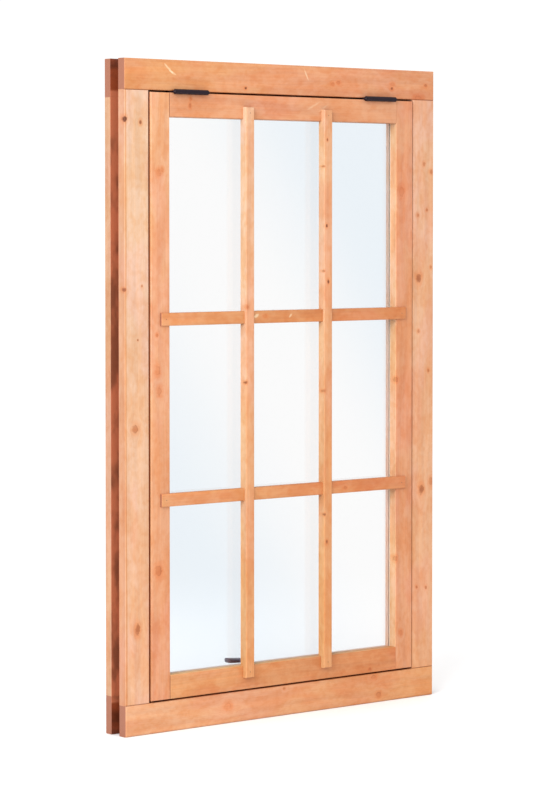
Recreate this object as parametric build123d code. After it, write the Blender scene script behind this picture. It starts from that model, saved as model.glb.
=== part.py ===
from build123d import *
import os

# Top-hung timber window for a boarded wall. Millimetres.
# X runs across the window, Y from outdoors (-) to indoors (+), Z up.
# The origin is the middle of the sill's underside, at the bottom of the wall channel.

# Driving dimensions
WIDTH = 800.0                # over the casings
HEIGHT = 1304.0
CHANNEL_WIDTH = 25.0         # room for the wall boards, front to back
CHANNEL_DEPTH = 30.0         # at the sides
CHANNEL_DEPTH_ENDS = 32.0    # at the top and the bottom, where the casings are wider
CASING_THICKNESS = 20.0
FRONT_CASING_WIDTH = 58.0    # of the side boards
BACK_CASING_WIDTH = 72.0     # of the side boards: their inner edge is the sash's stop
CASING_EASE = 2.5

SASH_GAP = 3.5
SASH_THICKNESS = 47.0
SASH_PROUD = 2.5             # how far the sash stands out of the front casings
STILE_WIDTH = 45.0
RAIL_HEIGHT = 47.0
SASH_EASE = 2.0
REBATE = 12.0
LIP = 19.0                   # timber in front of the glass
TENON_THICKNESS = 15.0
TENON_LENGTH = 26.0
TENON_SETBACK = 5.0          # tenon edges to rail edges
PEG_RADIUS = 4.0
PEG_LENGTH = 34.0

GLASS_THICKNESS = 4.0
GLASS_CLEARANCE = 2.0
TAPE_THICKNESS = 1.0
TAPE_WIDTH = 10.0
BEAD = 12.0
BEAD_EASE = 4.0

BAR_WIDTH_VERTICAL = 21.0
BAR_WIDTH_HORIZONTAL = 25.0
BAR_DEPTH = 18.0
BAR_PROUD = 10.0             # of the vertical bars; also the thickness of their laps over the rails
BAR_PROUD_HORIZONTAL = 5.0   # of the horizontal bars, and the thickness of their laps over the stiles
BAR_LAP_RAIL = 23.5
BAR_LAP_STILE = 24.0
BAR_SPLIT = 9.0              # depth of the vertical bar that is left at a crossing
BAR_RISE_LOWER = 388.5       # horizontal bars' middles over the sash's bottom edge
BAR_RISE_UPPER = 739.0

NAIL_RADIUS = 1.0
NAIL_LENGTH = 40.0
NAIL_SUNK = 1.0
PIN_NAIL_RADIUS = 0.8
BAR_PIN_END = -20.0          # how far back the bars' pins reach into the sash

HINGE_LENGTH = 80.0
HINGE_INSET = 53.5           # barrel end to sash edge
BARREL_RADIUS = 5.0
BARREL_CLEARANCE = 0.5       # barrel to the sash's face
HINGE_PIN_RADIUS = 2.5
RUNNING_CLEARANCE = 0.05
LEAF_THICKNESS = 1.5
LEAF_DEPTH = 35.0
KNUCKLES = 5
KNUCKLE_GAP = 0.2
FINIAL_LENGTH = 5.0

STAY_X = 130.0               # the swivel's axis
STAY_Y = 22.5                # the middle of the ledge
STAY_PIVOT_OFFSET = 12.0     # swivel axis to lift pin
STAY_PIVOT_Z = 56.0
ARM_BOTTOM = 55.0
ARM_THICKNESS = 4.0
ARM_WIDTH = 14.0
PEG_HEIGHT = 8.0
PEG_PLATE_THICKNESS = 2.0

# Edges worked out from them
LEFT, RIGHT = -WIDTH / 2, WIDTH / 2
BOTTOM, TOP = -CHANNEL_DEPTH_ENDS, HEIGHT - CHANNEL_DEPTH_ENDS
CHANNEL_BACK = CHANNEL_WIDTH / 2
CHANNEL_FRONT = -CHANNEL_BACK
FRONT = CHANNEL_FRONT - CASING_THICKNESS
BACK = CHANNEL_BACK + CASING_THICKNESS
CORE_X = WIDTH / 2 - CHANNEL_DEPTH
CORE_TOP = TOP - CHANNEL_DEPTH_ENDS
REVEAL_X = WIDTH / 2 - FRONT_CASING_WIDTH
END_EXTRA = CHANNEL_DEPTH_ENDS - CHANNEL_DEPTH
SILL_TOP = BOTTOM + FRONT_CASING_WIDTH + END_EXTRA
HEAD_BOTTOM = TOP - FRONT_CASING_WIDTH - END_EXTRA
LEDGE = BOTTOM + BACK_CASING_WIDTH + END_EXTRA

SASH_X = REVEAL_X - SASH_GAP
SASH_BOTTOM = SILL_TOP + SASH_GAP
SASH_TOP = HEAD_BOTTOM - SASH_GAP
SASH_FRONT = FRONT - SASH_PROUD
SASH_BACK = SASH_FRONT + SASH_THICKNESS
LIP_BACK = SASH_FRONT + LIP
MIDDLE_Z = (SASH_BOTTOM + SASH_TOP) / 2
OPEN_X = SASH_X - STILE_WIDTH
OPEN_BOTTOM = SASH_BOTTOM + RAIL_HEIGHT
OPEN_TOP = SASH_TOP - RAIL_HEIGHT
REBATE_X = OPEN_X + REBATE
REBATE_BOTTOM = OPEN_BOTTOM - REBATE
REBATE_TOP = OPEN_TOP + REBATE
GLASS_FRONT = LIP_BACK + TAPE_THICKNESS
GLASS_BACK = GLASS_FRONT + GLASS_THICKNESS
BEAD_BACK = GLASS_BACK + BEAD
GLASS_X = REBATE_X - GLASS_CLEARANCE
GLASS_BOTTOM = REBATE_BOTTOM + GLASS_CLEARANCE
GLASS_TOP = REBATE_TOP - GLASS_CLEARANCE

BAR_FRONT = SASH_FRONT - BAR_PROUD
BAR_BACK = BAR_FRONT + BAR_DEPTH
BAR_FRONT_HORIZONTAL = SASH_FRONT - BAR_PROUD_HORIZONTAL
PANE_WIDTH = (2 * OPEN_X - 2 * BAR_WIDTH_VERTICAL) / 3
BAR_X = (PANE_WIDTH + BAR_WIDTH_VERTICAL) / 2
BAR_Z_LOWER = SASH_BOTTOM + BAR_RISE_LOWER
BAR_Z_UPPER = SASH_BOTTOM + BAR_RISE_UPPER

HINGE_X = SASH_X - HINGE_INSET - HINGE_LENGTH / 2
HINGE_Y = SASH_FRONT - BARREL_CLEARANCE - BARREL_RADIUS
HINGE_Z = (HEAD_BOTTOM + SASH_TOP) / 2


def block(x, y, z):
    """A box between three (low, high) pairs."""
    spans = (x, y, z)
    centre = [(low + high) / 2 for low, high in spans]
    return Pos(*centre) * Box(*[high - low for low, high in spans])


def rod(start, direction, radius, length):
    """A round bar from a start point along a direction."""
    bar = Cylinder(radius, length, align=(Align.CENTER, Align.CENTER, Align.MIN))
    return Plane(origin=start, z_dir=direction).location * bar


def screw(start, direction, radius, length):
    """A pointed screw whose countersunk head is flush at its start point."""
    low = (Align.CENTER, Align.CENTER, Align.MIN)
    head_height = 0.8 * radius
    shape = Cone(1.85 * radius, radius, head_height, align=low)
    shape += Cylinder(radius, length - 2 * radius, align=low)
    shape += Pos(0, 0, length - 2 * radius) * Cone(radius, 0.2 * radius, 2 * radius, align=low)
    return Plane(origin=start, z_dir=direction).location * shape


def ease_face(board, face_index, radius):
    """Round the edges of a board's front (0) or back (-1) face."""
    return fillet(board.faces().sort_by(Axis.Y)[face_index].edges(), radius)


def cut_for(body, pieces):
    """Take the seats of buried pieces out of a body."""
    for piece in pieces:
        body = body - piece
    return body


def flipped_x(shape):
    return mirror(shape, Plane.YZ)


def flipped_z(shape):
    """The same shape upside down about the sash's mid height."""
    return mirror(shape, Plane.XY.offset(MIDDLE_Z))


def group(solids):
    return Compound(children=[piece.solid() for piece in solids])


# Fasteners of the frame


def corner_screws():
    """Two screws through the head and the sill into each jamb's end."""
    jamb_middle = (CORE_X + REVEAL_X) / 2
    screws = []
    for x in (-jamb_middle, jamb_middle):
        for y in (-6.0, 6.0):
            screws.append(screw((x, y, 0), (0, 0, 1), 2.25, 70.0))
            screws.append(screw((x, y, CORE_TOP), (0, 0, -1), 2.25, 70.0))
    return screws


def casing_nails(inset, start_y, direction):
    """Sunk nails through a set of casings into the frame members behind them."""
    nail_x = WIDTH / 2 - inset
    low, high = BOTTOM + inset, TOP - inset
    places = [(x, z) for z in (low, high) for x in (-300.0, -100.0, 100.0, 300.0)]
    places += [(x, z) for x in (-nail_x, nail_x) for z in (120.0, 370.0, 620.0, 870.0, 1120.0)]
    return [rod((x, start_y, z), (0, direction, 0), NAIL_RADIUS, NAIL_LENGTH) for x, z in places]


# Frame and casings


def frame_members():
    """Head and sill across, jambs between them: the bottom of the wall channel."""
    depth = (CHANNEL_FRONT, CHANNEL_BACK)
    jamb = block((-CORE_X, -REVEAL_X), depth, (SILL_TOP, HEAD_BOTTOM))
    return {
        "frame_sill": block((-CORE_X, CORE_X), depth, (0, SILL_TOP)),
        "frame_head": block((-CORE_X, CORE_X), depth, (HEAD_BOTTOM, CORE_TOP)),
        "frame_jamb_left": jamb,
        "frame_jamb_right": flipped_x(jamb),
    }


def casing_boards(prefix, width, depth, face_index):
    """Top and bottom boards run right across, side boards stand between them."""
    end_width = width + END_EXTRA
    left = block((LEFT, LEFT + width), depth, (BOTTOM + end_width, TOP - end_width))
    boards = {
        "top": block((LEFT, RIGHT), depth, (TOP - end_width, TOP)),
        "bottom": block((LEFT, RIGHT), depth, (BOTTOM, BOTTOM + end_width)),
        "left": left,
        "right": flipped_x(left),
    }
    return {f"{prefix}_{side}": ease_face(b, face_index, CASING_EASE) for side, b in boards.items()}


# Sash


def sash_timbers():
    """Two rebated stiles, and two rails tenoned into them with long and short shoulders."""
    stile = block((-SASH_X, -OPEN_X), (SASH_FRONT, SASH_BACK), (SASH_BOTTOM, SASH_TOP))
    stile = ease_face(stile, 0, SASH_EASE)
    stile -= block((-REBATE_X, -OPEN_X), (LIP_BACK, SASH_BACK), (SASH_BOTTOM, SASH_TOP))

    lip = block((-OPEN_X, OPEN_X), (SASH_FRONT, LIP_BACK), (SASH_BOTTOM, OPEN_BOTTOM))
    long_edges = lip.faces().sort_by(Axis.Y)[0].edges().filter_by(Axis.X)
    lip = fillet(long_edges, SASH_EASE)
    rail = lip + block((-REBATE_X, REBATE_X), (LIP_BACK, SASH_BACK), (SASH_BOTTOM, REBATE_BOTTOM))
    tenon_x = REBATE_X + TENON_LENGTH
    tenon = block(
        (-tenon_x, tenon_x),
        (LIP_BACK, LIP_BACK + TENON_THICKNESS),
        (SASH_BOTTOM + TENON_SETBACK, REBATE_BOTTOM - TENON_SETBACK),
    )
    rail += tenon
    for mortise in (tenon, flipped_z(tenon)):
        stile -= mortise
    return {
        "sash_stile_left": stile,
        "sash_stile_right": flipped_x(stile),
        "sash_bottom_rail": rail,
        "sash_top_rail": flipped_z(rail),
    }


def corner_pegs():
    """One dowel through each corner joint, driven from indoors."""
    x = REBATE_X + TENON_LENGTH / 2
    z = (SASH_BOTTOM + REBATE_BOTTOM) / 2
    peg = rod((-x, SASH_BACK, z), (0, -1, 0), PEG_RADIUS, PEG_LENGTH)
    pair = [peg, flipped_x(peg)]
    return pair + [flipped_z(p) for p in pair]


# Glazing


def glazing():
    """The pane, the tape it is bedded on, its setting blocks and the four beads."""
    pane = block((-GLASS_X, GLASS_X), (GLASS_FRONT, GLASS_BACK), (GLASS_BOTTOM, GLASS_TOP))
    tape_depth = (LIP_BACK, GLASS_FRONT)
    tape = block((-GLASS_X, GLASS_X), tape_depth, (GLASS_BOTTOM, GLASS_TOP))
    inner_x = GLASS_X - TAPE_WIDTH
    inner_z = (GLASS_BOTTOM + TAPE_WIDTH, GLASS_TOP - TAPE_WIDTH)
    tape -= block((-inner_x, inner_x), tape_depth, inner_z)

    setting = block((-170, -130), (LIP_BACK, GLASS_BACK), (REBATE_BOTTOM, GLASS_BOTTOM))
    bead_depth = (GLASS_BACK, BEAD_BACK)
    bottom = block((-REBATE_X, REBATE_X), bead_depth, (REBATE_BOTTOM, OPEN_BOTTOM))
    bottom = fillet(bottom.edges().filter_by(Axis.X).group_by(Axis.Y)[-1].sort_by(Axis.Z)[-1:], BEAD_EASE)
    left = block((-REBATE_X, -OPEN_X), bead_depth, (OPEN_BOTTOM, OPEN_TOP))
    left = fillet(left.edges().filter_by(Axis.Z).group_by(Axis.Y)[-1].sort_by(Axis.X)[-1:], BEAD_EASE)
    return {
        "glass_pane": pane,
        "glazing_tape": tape,
        "glass_setting_blocks": group([setting, flipped_x(setting)]),
        "glazing_bead_bottom": bottom,
        "glazing_bead_top": flipped_z(bottom),
        "glazing_bead_left": left,
        "glazing_bead_right": flipped_x(left),
    }


def bead_pins():
    """Fine pins through the beads into the sash."""
    y = (GLASS_BACK + BEAD_BACK) / 2
    pins = []
    for z in (200.0, 480.0, 760.0, 1040.0):
        pins.append(rod((-OPEN_X, y, z), (-1, 0, 0), PIN_NAIL_RADIUS, 20.0))
    for x in (-200.0, 0.0, 200.0):
        pins.append(rod((x, y, OPEN_BOTTOM), (0, 0, -1), PIN_NAIL_RADIUS, 20.0))
    side, level = pins[:4], pins[4:]
    return side + [flipped_x(p) for p in side] + level + [flipped_z(p) for p in level]


def vertical_bar(x):
    """A glazing bar whose ends lap over the rails, notched behind for the horizontal bars."""
    across = (x - BAR_WIDTH_VERTICAL / 2, x + BAR_WIDTH_VERTICAL / 2)
    low, high = OPEN_BOTTOM - BAR_LAP_RAIL, OPEN_TOP + BAR_LAP_RAIL
    bar = ease_face(block(across, (BAR_FRONT, BAR_BACK), (low, high)), 0, SASH_EASE)
    bar -= block(across, (SASH_FRONT, BAR_BACK), (low, OPEN_BOTTOM))
    bar -= block(across, (SASH_FRONT, BAR_BACK), (OPEN_TOP, high))
    for z in (BAR_Z_LOWER, BAR_Z_UPPER):
        half = BAR_WIDTH_HORIZONTAL / 2
        bar -= block(across, (BAR_FRONT + BAR_SPLIT, BAR_BACK), (z - half, z + half))
    return bar


def horizontal_bar(z):
    """A glazing bar whose ends lap over the stiles, notched in front for the vertical bars."""
    up = (z - BAR_WIDTH_HORIZONTAL / 2, z + BAR_WIDTH_HORIZONTAL / 2)
    reach = OPEN_X + BAR_LAP_STILE
    bar = ease_face(block((-reach, reach), (BAR_FRONT_HORIZONTAL, BAR_BACK), up), 0, SASH_EASE)
    bar -= block((-reach, -OPEN_X), (SASH_FRONT, BAR_BACK), up)
    bar -= block((OPEN_X, reach), (SASH_FRONT, BAR_BACK), up)
    for x in (-BAR_X, BAR_X):
        half = BAR_WIDTH_VERTICAL / 2
        bar -= block((x - half, x + half), (BAR_FRONT, BAR_FRONT + BAR_SPLIT), up)
    return bar


def bar_pins():
    """One pin through each end of each bar into the sash."""
    high = OPEN_TOP + BAR_LAP_RAIL / 2
    low = OPEN_BOTTOM - BAR_LAP_RAIL / 2
    side = OPEN_X + BAR_LAP_STILE / 2
    places = [(x, BAR_FRONT, z) for x in (-BAR_X, BAR_X) for z in (low, high)]
    places += [(x, BAR_FRONT_HORIZONTAL, z) for x in (-side, side) for z in (BAR_Z_LOWER, BAR_Z_UPPER)]
    return [rod(place, (0, 1, 0), NAIL_RADIUS, BAR_PIN_END - place[1]) for place in places]


# Hinges: the left one is built, the right one is its mirror image


def hinge_leaf(knuckles, bore_radius, leaf_z):
    """A leaf plate with its share of the barrel's knuckles."""
    pitch = HINGE_LENGTH / KNUCKLES
    start = -HINGE_X - HINGE_LENGTH / 2
    leaf = block((start, start + HINGE_LENGTH), (SASH_FRONT, SASH_FRONT + LEAF_DEPTH), leaf_z)
    for i in knuckles:
        low = start + i * pitch + KNUCKLE_GAP / 2
        high = start + (i + 1) * pitch - KNUCKLE_GAP / 2
        barrel = rod((low, HINGE_Y, HINGE_Z), (1, 0, 0), BARREL_RADIUS, high - low)
        barrel += block((low, high), (HINGE_Y, SASH_FRONT), leaf_z)
        leaf += barrel - rod((low, HINGE_Y, HINGE_Z), (1, 0, 0), bore_radius, high - low)
    return leaf


def hinge_pin():
    """The pin, with a cone-shaped finial at each end."""
    pin = rod((-HINGE_X - HINGE_LENGTH / 2, HINGE_Y, HINGE_Z), (1, 0, 0), HINGE_PIN_RADIUS, HINGE_LENGTH)
    cone = Cone(BARREL_RADIUS - 0.5, 1.5, FINIAL_LENGTH, align=(Align.CENTER, Align.CENTER, Align.MIN))
    for side in (-1, 1):
        end = (-HINGE_X + side * HINGE_LENGTH / 2, HINGE_Y, HINGE_Z)
        pin += Plane(origin=end, z_dir=(side, 0, 0)).location * cone
    return pin


def hinge_screws(face_z, direction):
    """Three screws, staggered along the leaf."""
    places = [(-28.0, SASH_FRONT + 12.5), (0.0, SASH_FRONT + 29.0), (28.0, SASH_FRONT + 12.5)]
    return [screw((-HINGE_X + x, y, face_z), (0, 0, direction), 1.6, 16.0) for x, y in places]


# Peg stay: a bracket on the sash, a swivel, a lifting arm with a handle, and pegs on the ledge


def stay_bracket():
    """A wall plate with two lugs that hold the upright pin."""
    plate_back = SASH_BACK + 2.0
    bracket = block((STAY_X - 15, STAY_X + 15), (SASH_BACK, plate_back), (45, 65))
    for low in (45.0, 62.0):
        lug = block((STAY_X - 7, STAY_X + 7), (plate_back, STAY_Y), (low, low + 3))
        bracket += lug + rod((STAY_X, STAY_Y, low), (0, 0, 1), 7.0, 3.0)
    return bracket - stay_upright_pin()


def stay_upright_pin():
    return rod((STAY_X, STAY_Y, 45), (0, 0, 1), 2.5, 20.0)


def stay_swivel():
    """A round boss on the upright pin, with two cheeks that hold the arm's eye."""
    pivot_x = STAY_X - STAY_PIVOT_OFFSET
    bore = rod((STAY_X, STAY_Y, 45), (0, 0, 1), 2.5 + RUNNING_CLEARANCE, 20.0)
    boss = rod((STAY_X, STAY_Y, 48.2), (0, 0, 1), 6.0, 13.6)
    for low in (STAY_Y - 7.1, STAY_Y + 4.1):
        cheek = block((pivot_x, STAY_X - 1), (low, low + 3), (STAY_PIVOT_Z - 5.5, STAY_PIVOT_Z + 5.5))
        boss += cheek + rod((pivot_x, low, STAY_PIVOT_Z), (0, 1, 0), 5.5, 3.0)
    return boss - bore - stay_lift_pin()


def stay_lift_pin():
    return rod((STAY_X - STAY_PIVOT_OFFSET, STAY_Y - 7.1, STAY_PIVOT_Z), (0, 1, 0), 2.0, 14.2)


ARM_HOLES = (-20.0, 20.0, 60.0)
ARM_END = -55.0
TANG = ((-92.0, ARM_END), (STAY_Y - 2.5, STAY_Y + 7.5), (76.0, 80.0))
GRIP_END = -101.5


def stay_arm():
    """A flat bar with peg holes, an eye at one end and a cranked tang at the other."""
    pivot_x = STAY_X - STAY_PIVOT_OFFSET
    level = (ARM_BOTTOM, ARM_BOTTOM + ARM_THICKNESS)
    half = ARM_WIDTH / 2
    bar = block((ARM_END, pivot_x - 9), (STAY_Y - half, STAY_Y + half), level)
    bar = fillet(bar.edges().filter_by(Axis.Z).sort_by(Axis.X)[-2:], 2.5)
    bar += block((pivot_x - 9, pivot_x), (STAY_Y - 4, STAY_Y + 4), level)
    bar += rod((pivot_x, STAY_Y - 4, STAY_PIVOT_Z), (0, 1, 0), 5.0, 8.0)
    bar += block((ARM_END - ARM_THICKNESS, ARM_END), (STAY_Y - half, STAY_Y + half), (level[0], TANG[2][1]))
    bar += block(*TANG)
    bar -= rod((pivot_x, STAY_Y - 4, STAY_PIVOT_Z), (0, 1, 0), 2.0 + RUNNING_CLEARANCE, 8.0)
    for x in ARM_HOLES:
        bar -= rod((x, STAY_Y, level[0]), (0, 0, 1), 4.5, ARM_THICKNESS)
    return bar


def stay_handle():
    """A flat grip on the arm's tang, which rises and thickens towards its free end."""
    root = ARM_END - ARM_THICKNESS
    outline = Polygon((GRIP_END, 76.0), (root, 74.0), (root, 81.5), (GRIP_END, 85.5), align=None)
    side = Plane(origin=(0, STAY_Y + 20, 0), x_dir=(1, 0, 0), z_dir=(0, -1, 0))
    grip = extrude(side * outline, amount=25.0)
    grip = fillet(grip.edges().filter_by(Axis.Z), 4.0)
    grip = fillet(grip.faces().sort_by(Axis.Z)[-1].edges(), 1.5)
    return grip - block(*TANG)


def stay_peg_plate():
    return block((-60, 100), (STAY_Y - 8, STAY_Y + 8), (LEDGE, LEDGE + PEG_PLATE_THICKNESS))


def stay_pegs():
    """Two round-topped pegs that the arm's holes drop over."""
    pegs = []
    for x in (ARM_HOLES[0], ARM_HOLES[-1]):
        peg = rod((x, STAY_Y, LEDGE + PEG_PLATE_THICKNESS), (0, 0, 1), 3.75, PEG_HEIGHT)
        pegs.append(fillet(peg.faces().sort_by(Axis.Z)[-1].edges(), 2.0))
    return pegs


def peg_plate_screws():
    top = LEDGE + PEG_PLATE_THICKNESS
    return [screw((x, STAY_Y, top), (0, 0, -1), 1.75, 20.0) for x in (-48.0, 20.0, 88.0)]


def bracket_screws():
    places = [(STAY_X - 11, 50.0), (STAY_X + 11, 50.0), (STAY_X - 11, 60.0), (STAY_X + 11, 60.0)]
    return [screw((x, SASH_BACK + 2.0, z), (0, -1, 0), 1.6, 16.0) for x, z in places]


# The assembly

frame_screws = corner_screws()
front_nails = casing_nails(40.0, FRONT + NAIL_SUNK, 1)
back_nails = casing_nails(48.0, BACK - NAIL_SUNK, -1)
leaf_screws_up = hinge_screws(HEAD_BOTTOM - LEAF_THICKNESS, 1)
leaf_screws_up += [flipped_x(s) for s in leaf_screws_up]
leaf_screws_down = hinge_screws(SASH_TOP + LEAF_THICKNESS, -1)
leaf_screws_down += [flipped_x(s) for s in leaf_screws_down]
pegs, beads_pinned, bars_pinned = corner_pegs(), bead_pins(), bar_pins()
plate_screws, stay_screws = peg_plate_screws(), bracket_screws()

nodes = {}
for name, timber in frame_members().items():
    nodes[name] = cut_for(timber, frame_screws + front_nails + back_nails + leaf_screws_up)
for name, board in casing_boards(
    "front_casing", FRONT_CASING_WIDTH, (FRONT, CHANNEL_FRONT), 0
).items():
    nodes[name] = cut_for(board, front_nails + leaf_screws_up)
for name, board in casing_boards(
    "back_casing", BACK_CASING_WIDTH, (CHANNEL_BACK, BACK), -1
).items():
    nodes[name] = cut_for(board, back_nails + plate_screws)
nodes["frame_corner_screws"] = group(frame_screws)
nodes["front_casing_nails"] = group(front_nails)
nodes["back_casing_nails"] = group(back_nails)

for name, timber in sash_timbers().items():
    fixings = pegs + beads_pinned + bars_pinned + leaf_screws_down + stay_screws
    nodes[name] = cut_for(timber, fixings)
nodes["sash_corner_pegs"] = group(pegs)
for name, piece in glazing().items():
    nodes[name] = cut_for(piece, beads_pinned) if "bead" in name else piece
nodes["glazing_bead_pins"] = group(beads_pinned)
for side, x in (("left", -BAR_X), ("right", BAR_X)):
    nodes[f"glazing_bar_vertical_{side}"] = cut_for(vertical_bar(x), bars_pinned)
for place, z in (("lower", BAR_Z_LOWER), ("upper", BAR_Z_UPPER)):
    nodes[f"glazing_bar_horizontal_{place}"] = cut_for(horizontal_bar(z), bars_pinned)
nodes["glazing_bar_pins"] = group(bars_pinned)

frame_leaf = hinge_leaf((0, 2, 4), HINGE_PIN_RADIUS, (HEAD_BOTTOM - LEAF_THICKNESS, HEAD_BOTTOM))
sash_leaf = hinge_leaf((1, 3), HINGE_PIN_RADIUS + RUNNING_CLEARANCE, (SASH_TOP, SASH_TOP + LEAF_THICKNESS))
frame_leaf = cut_for(frame_leaf, leaf_screws_up)
sash_leaf = cut_for(sash_leaf, leaf_screws_down)
for name, piece in (("leaf_frame", frame_leaf), ("leaf_sash", sash_leaf), ("pin", hinge_pin())):
    nodes[f"hinge_{name}_left"] = piece
    nodes[f"hinge_{name}_right"] = flipped_x(piece)
nodes["hinge_frame_screws"] = group(leaf_screws_up)
nodes["hinge_sash_screws"] = group(leaf_screws_down)

nodes["stay_bracket"] = cut_for(stay_bracket(), stay_screws)
nodes["stay_bracket_screws"] = group(stay_screws)
nodes["stay_upright_pin"] = stay_upright_pin()
nodes["stay_swivel"] = stay_swivel()
nodes["stay_lift_pin"] = stay_lift_pin()
nodes["stay_arm"] = stay_arm()
nodes["stay_handle"] = stay_handle()
nodes["stay_peg_plate"] = cut_for(stay_peg_plate(), plate_screws)
nodes["stay_pegs"] = group(stay_pegs())
nodes["stay_peg_plate_screws"] = group(plate_screws)

os.makedirs("parts", exist_ok=True)
for name, shape in nodes.items():
    export_step(shape, f"parts/{name}.step")
print(len(nodes), "nodes")
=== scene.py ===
import math

import bpy
import numpy as np
from bpy.props import FloatProperty, FloatVectorProperty, PointerProperty
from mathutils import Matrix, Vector


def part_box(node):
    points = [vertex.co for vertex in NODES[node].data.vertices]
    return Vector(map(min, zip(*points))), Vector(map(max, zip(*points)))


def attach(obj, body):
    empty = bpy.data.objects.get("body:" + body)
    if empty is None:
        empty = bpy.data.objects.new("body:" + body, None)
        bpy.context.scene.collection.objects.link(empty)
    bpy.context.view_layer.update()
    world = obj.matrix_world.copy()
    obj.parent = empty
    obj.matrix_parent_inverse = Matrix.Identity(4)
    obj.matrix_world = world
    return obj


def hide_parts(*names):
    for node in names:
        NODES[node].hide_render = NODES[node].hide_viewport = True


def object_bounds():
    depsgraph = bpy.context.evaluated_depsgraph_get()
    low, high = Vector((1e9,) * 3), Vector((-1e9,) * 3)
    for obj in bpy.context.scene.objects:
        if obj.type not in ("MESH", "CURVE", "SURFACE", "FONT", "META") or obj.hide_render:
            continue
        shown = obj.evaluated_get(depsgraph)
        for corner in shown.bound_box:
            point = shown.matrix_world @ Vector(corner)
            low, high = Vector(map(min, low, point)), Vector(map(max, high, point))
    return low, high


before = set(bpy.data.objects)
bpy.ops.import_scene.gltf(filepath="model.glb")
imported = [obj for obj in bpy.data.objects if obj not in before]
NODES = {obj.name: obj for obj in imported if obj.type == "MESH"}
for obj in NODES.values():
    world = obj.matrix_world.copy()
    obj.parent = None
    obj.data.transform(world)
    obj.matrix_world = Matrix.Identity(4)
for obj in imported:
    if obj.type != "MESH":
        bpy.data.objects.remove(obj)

bl_info = {
    "name": "Top-hung timber window",
    "version": (1, 0, 0),
    "blender": (4, 5, 0),
    "location": "3D View > Sidebar > Window",
    "description": "Finishes and fine pieces of a top-hung window with planted glazing bars",
    "category": "Object",
}

CAD_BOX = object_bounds()
MM = 0.001

# Where the boards lie, in metres: the core is the part of the window inside the wall channel
CORE_MIDDLE = 620.0 * MM
CORE_HALF_WIDTH = 370.0 * MM
CORE_HALF_HEIGHT = 620.0 * MM
CHANNEL_HALF_GAP = 12.5 * MM
CASING_FRONT = -32.5 * MM

# Tones of the boards, as shares of red, green and blue. A board runs from one of them to another.
PALE_CREAM = (0.85, 1.15, 1.5)
PALE_PEACH = (0.85, 1.0, 1.2)
PEACH = (0.85, 0.9, 0.95)
ROSE_TAN = (0.8, 0.75, 0.75)
HONEY = (0.8, 0.75, 0.6)
DEEP_ORANGE = (0.7, 0.55, 0.4)
# Painted shade: the next tone darkens the left back casing, standing in for the shade on it
SHADED_DUSKY_PINK = (0.65, 0.75, 0.85)
UNTINTED = (1, 1, 1)
# Painted light: the next tone lightens the right and bottom glazing beads for the light that falls on them
PAINTED_LIT_PALE_WOOD = (1.35, 1.9, 2.9)

# Painted light and shade: what the side faces of some boards are multiplied by, lighter or darker the way
# light falls on them
PAINTED_SIDE_LIGHT = {
    "front_casing_left": (0.80, 0.68, 0.62),
    "sash_stile_left": (1.0, 1.15, 1.15),
    "sash_stile_right": (1.2, 1.6, 1.75),
    "glazing_bar_vertical_left": (1.05, 1.25, 1.4),
    "glazing_bar_vertical_right": (1.05, 1.25, 1.4),
    "sash_bottom_rail": (1.15, 1.5, 1.6),
}

# Flecks of torn grain on a board: run, across, half length, half width (millimetres), slope, strength
FLECKS = {
    "front_casing_top": (
        (-292, 1253, 15, 2.0, -0.9, 0.7), (-284, 1247, 9, 1.8, -0.5, 0.6), (53, 1254, 12, 1.8, -2.0, 0.6),
    ),
    "glazing_bar_horizontal_upper": ((-82, 773, 6, 3.0, 0.5, 0.8), (6, 772, 5, 2.0, 1.0, 0.7)),
    "sash_top_rail": ((70, 1192, 16, 2.0, 0.5, 0.3), (96, 1188, 14, 2.0, 0.6, 0.25)),
}

# The pale floor is a flat disc, lit by itself between its plain middle and its rim
FLOOR_RADIUS = 24.3
FLOOR_CORNERS = 96
FLOOR_PLAIN = 0.9
FLOOR_GLOWING = 2.6
KEY_PLACE = (-3.5, -1.9, 2.4)
KEY_AIM = (0.0, 0.0, 0.6)
KEY_SIZE = 2.5


def colour(name, description, tone):
    """A colour that a user would change, in linear red, green and blue."""
    return FloatVectorProperty(
        name=name, description=description, default=tone, size=3, subtype="COLOR", min=0.0, max=1.0
    )


def length(name, description, size):
    """A length that a user would change, in metres."""
    return FloatProperty(
        name=name, description=description, default=size, unit="LENGTH", subtype="DISTANCE"
    )


def factor(name, description, share):
    """A share from 0 to 1 that a user would change."""
    return FloatProperty(
        name=name, description=description, default=share, subtype="FACTOR", min=0.0, max=1.0
    )


# Settings


class TimberSettings(bpy.types.PropertyGroup):
    """Stained softwood: the stain's tones, the growth rings and the knots."""

    stain: colour("Stain", "The stain's tone on planed timber", (0.72, 0.36, 0.19))
    pale_grain: colour("Pale grain", "Soft bands along the grain", (0.66, 0.60, 0.56))
    deep_grain: colour("Deep grain", "Cloudy patches where the stain is deeper", (0.42, 0.34, 0.26))
    blush: colour("Blush", "Pinker patches", (0.52, 0.46, 0.55))
    # Painted shade: the channel colour stands in for the shade inside the wall channel, not for a stain
    channel: colour("Channel", "Stain in the wall channel", (0.39, 0.115, 0.053))
    # Painted shade: the gap colour stands in for the shade on the hidden edges of the gap round the sash, not
    # for a stain
    gap: colour("Gap", "Stain on the hidden edges of the gap round the sash", (0.40, 0.10, 0.035))
    knot: colour("Knots", "Heart of a knot", (0.34, 0.09, 0.025))
    end_grain: colour("End grain", "Stain soaked into sawn ends", (0.33, 0.125, 0.072))
    ring_spacing: length("Ring spacing", "Distance between growth rings", 3.2 * MM)
    sheen: factor("Roughness", "How matt the stain is", 0.52)


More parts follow.
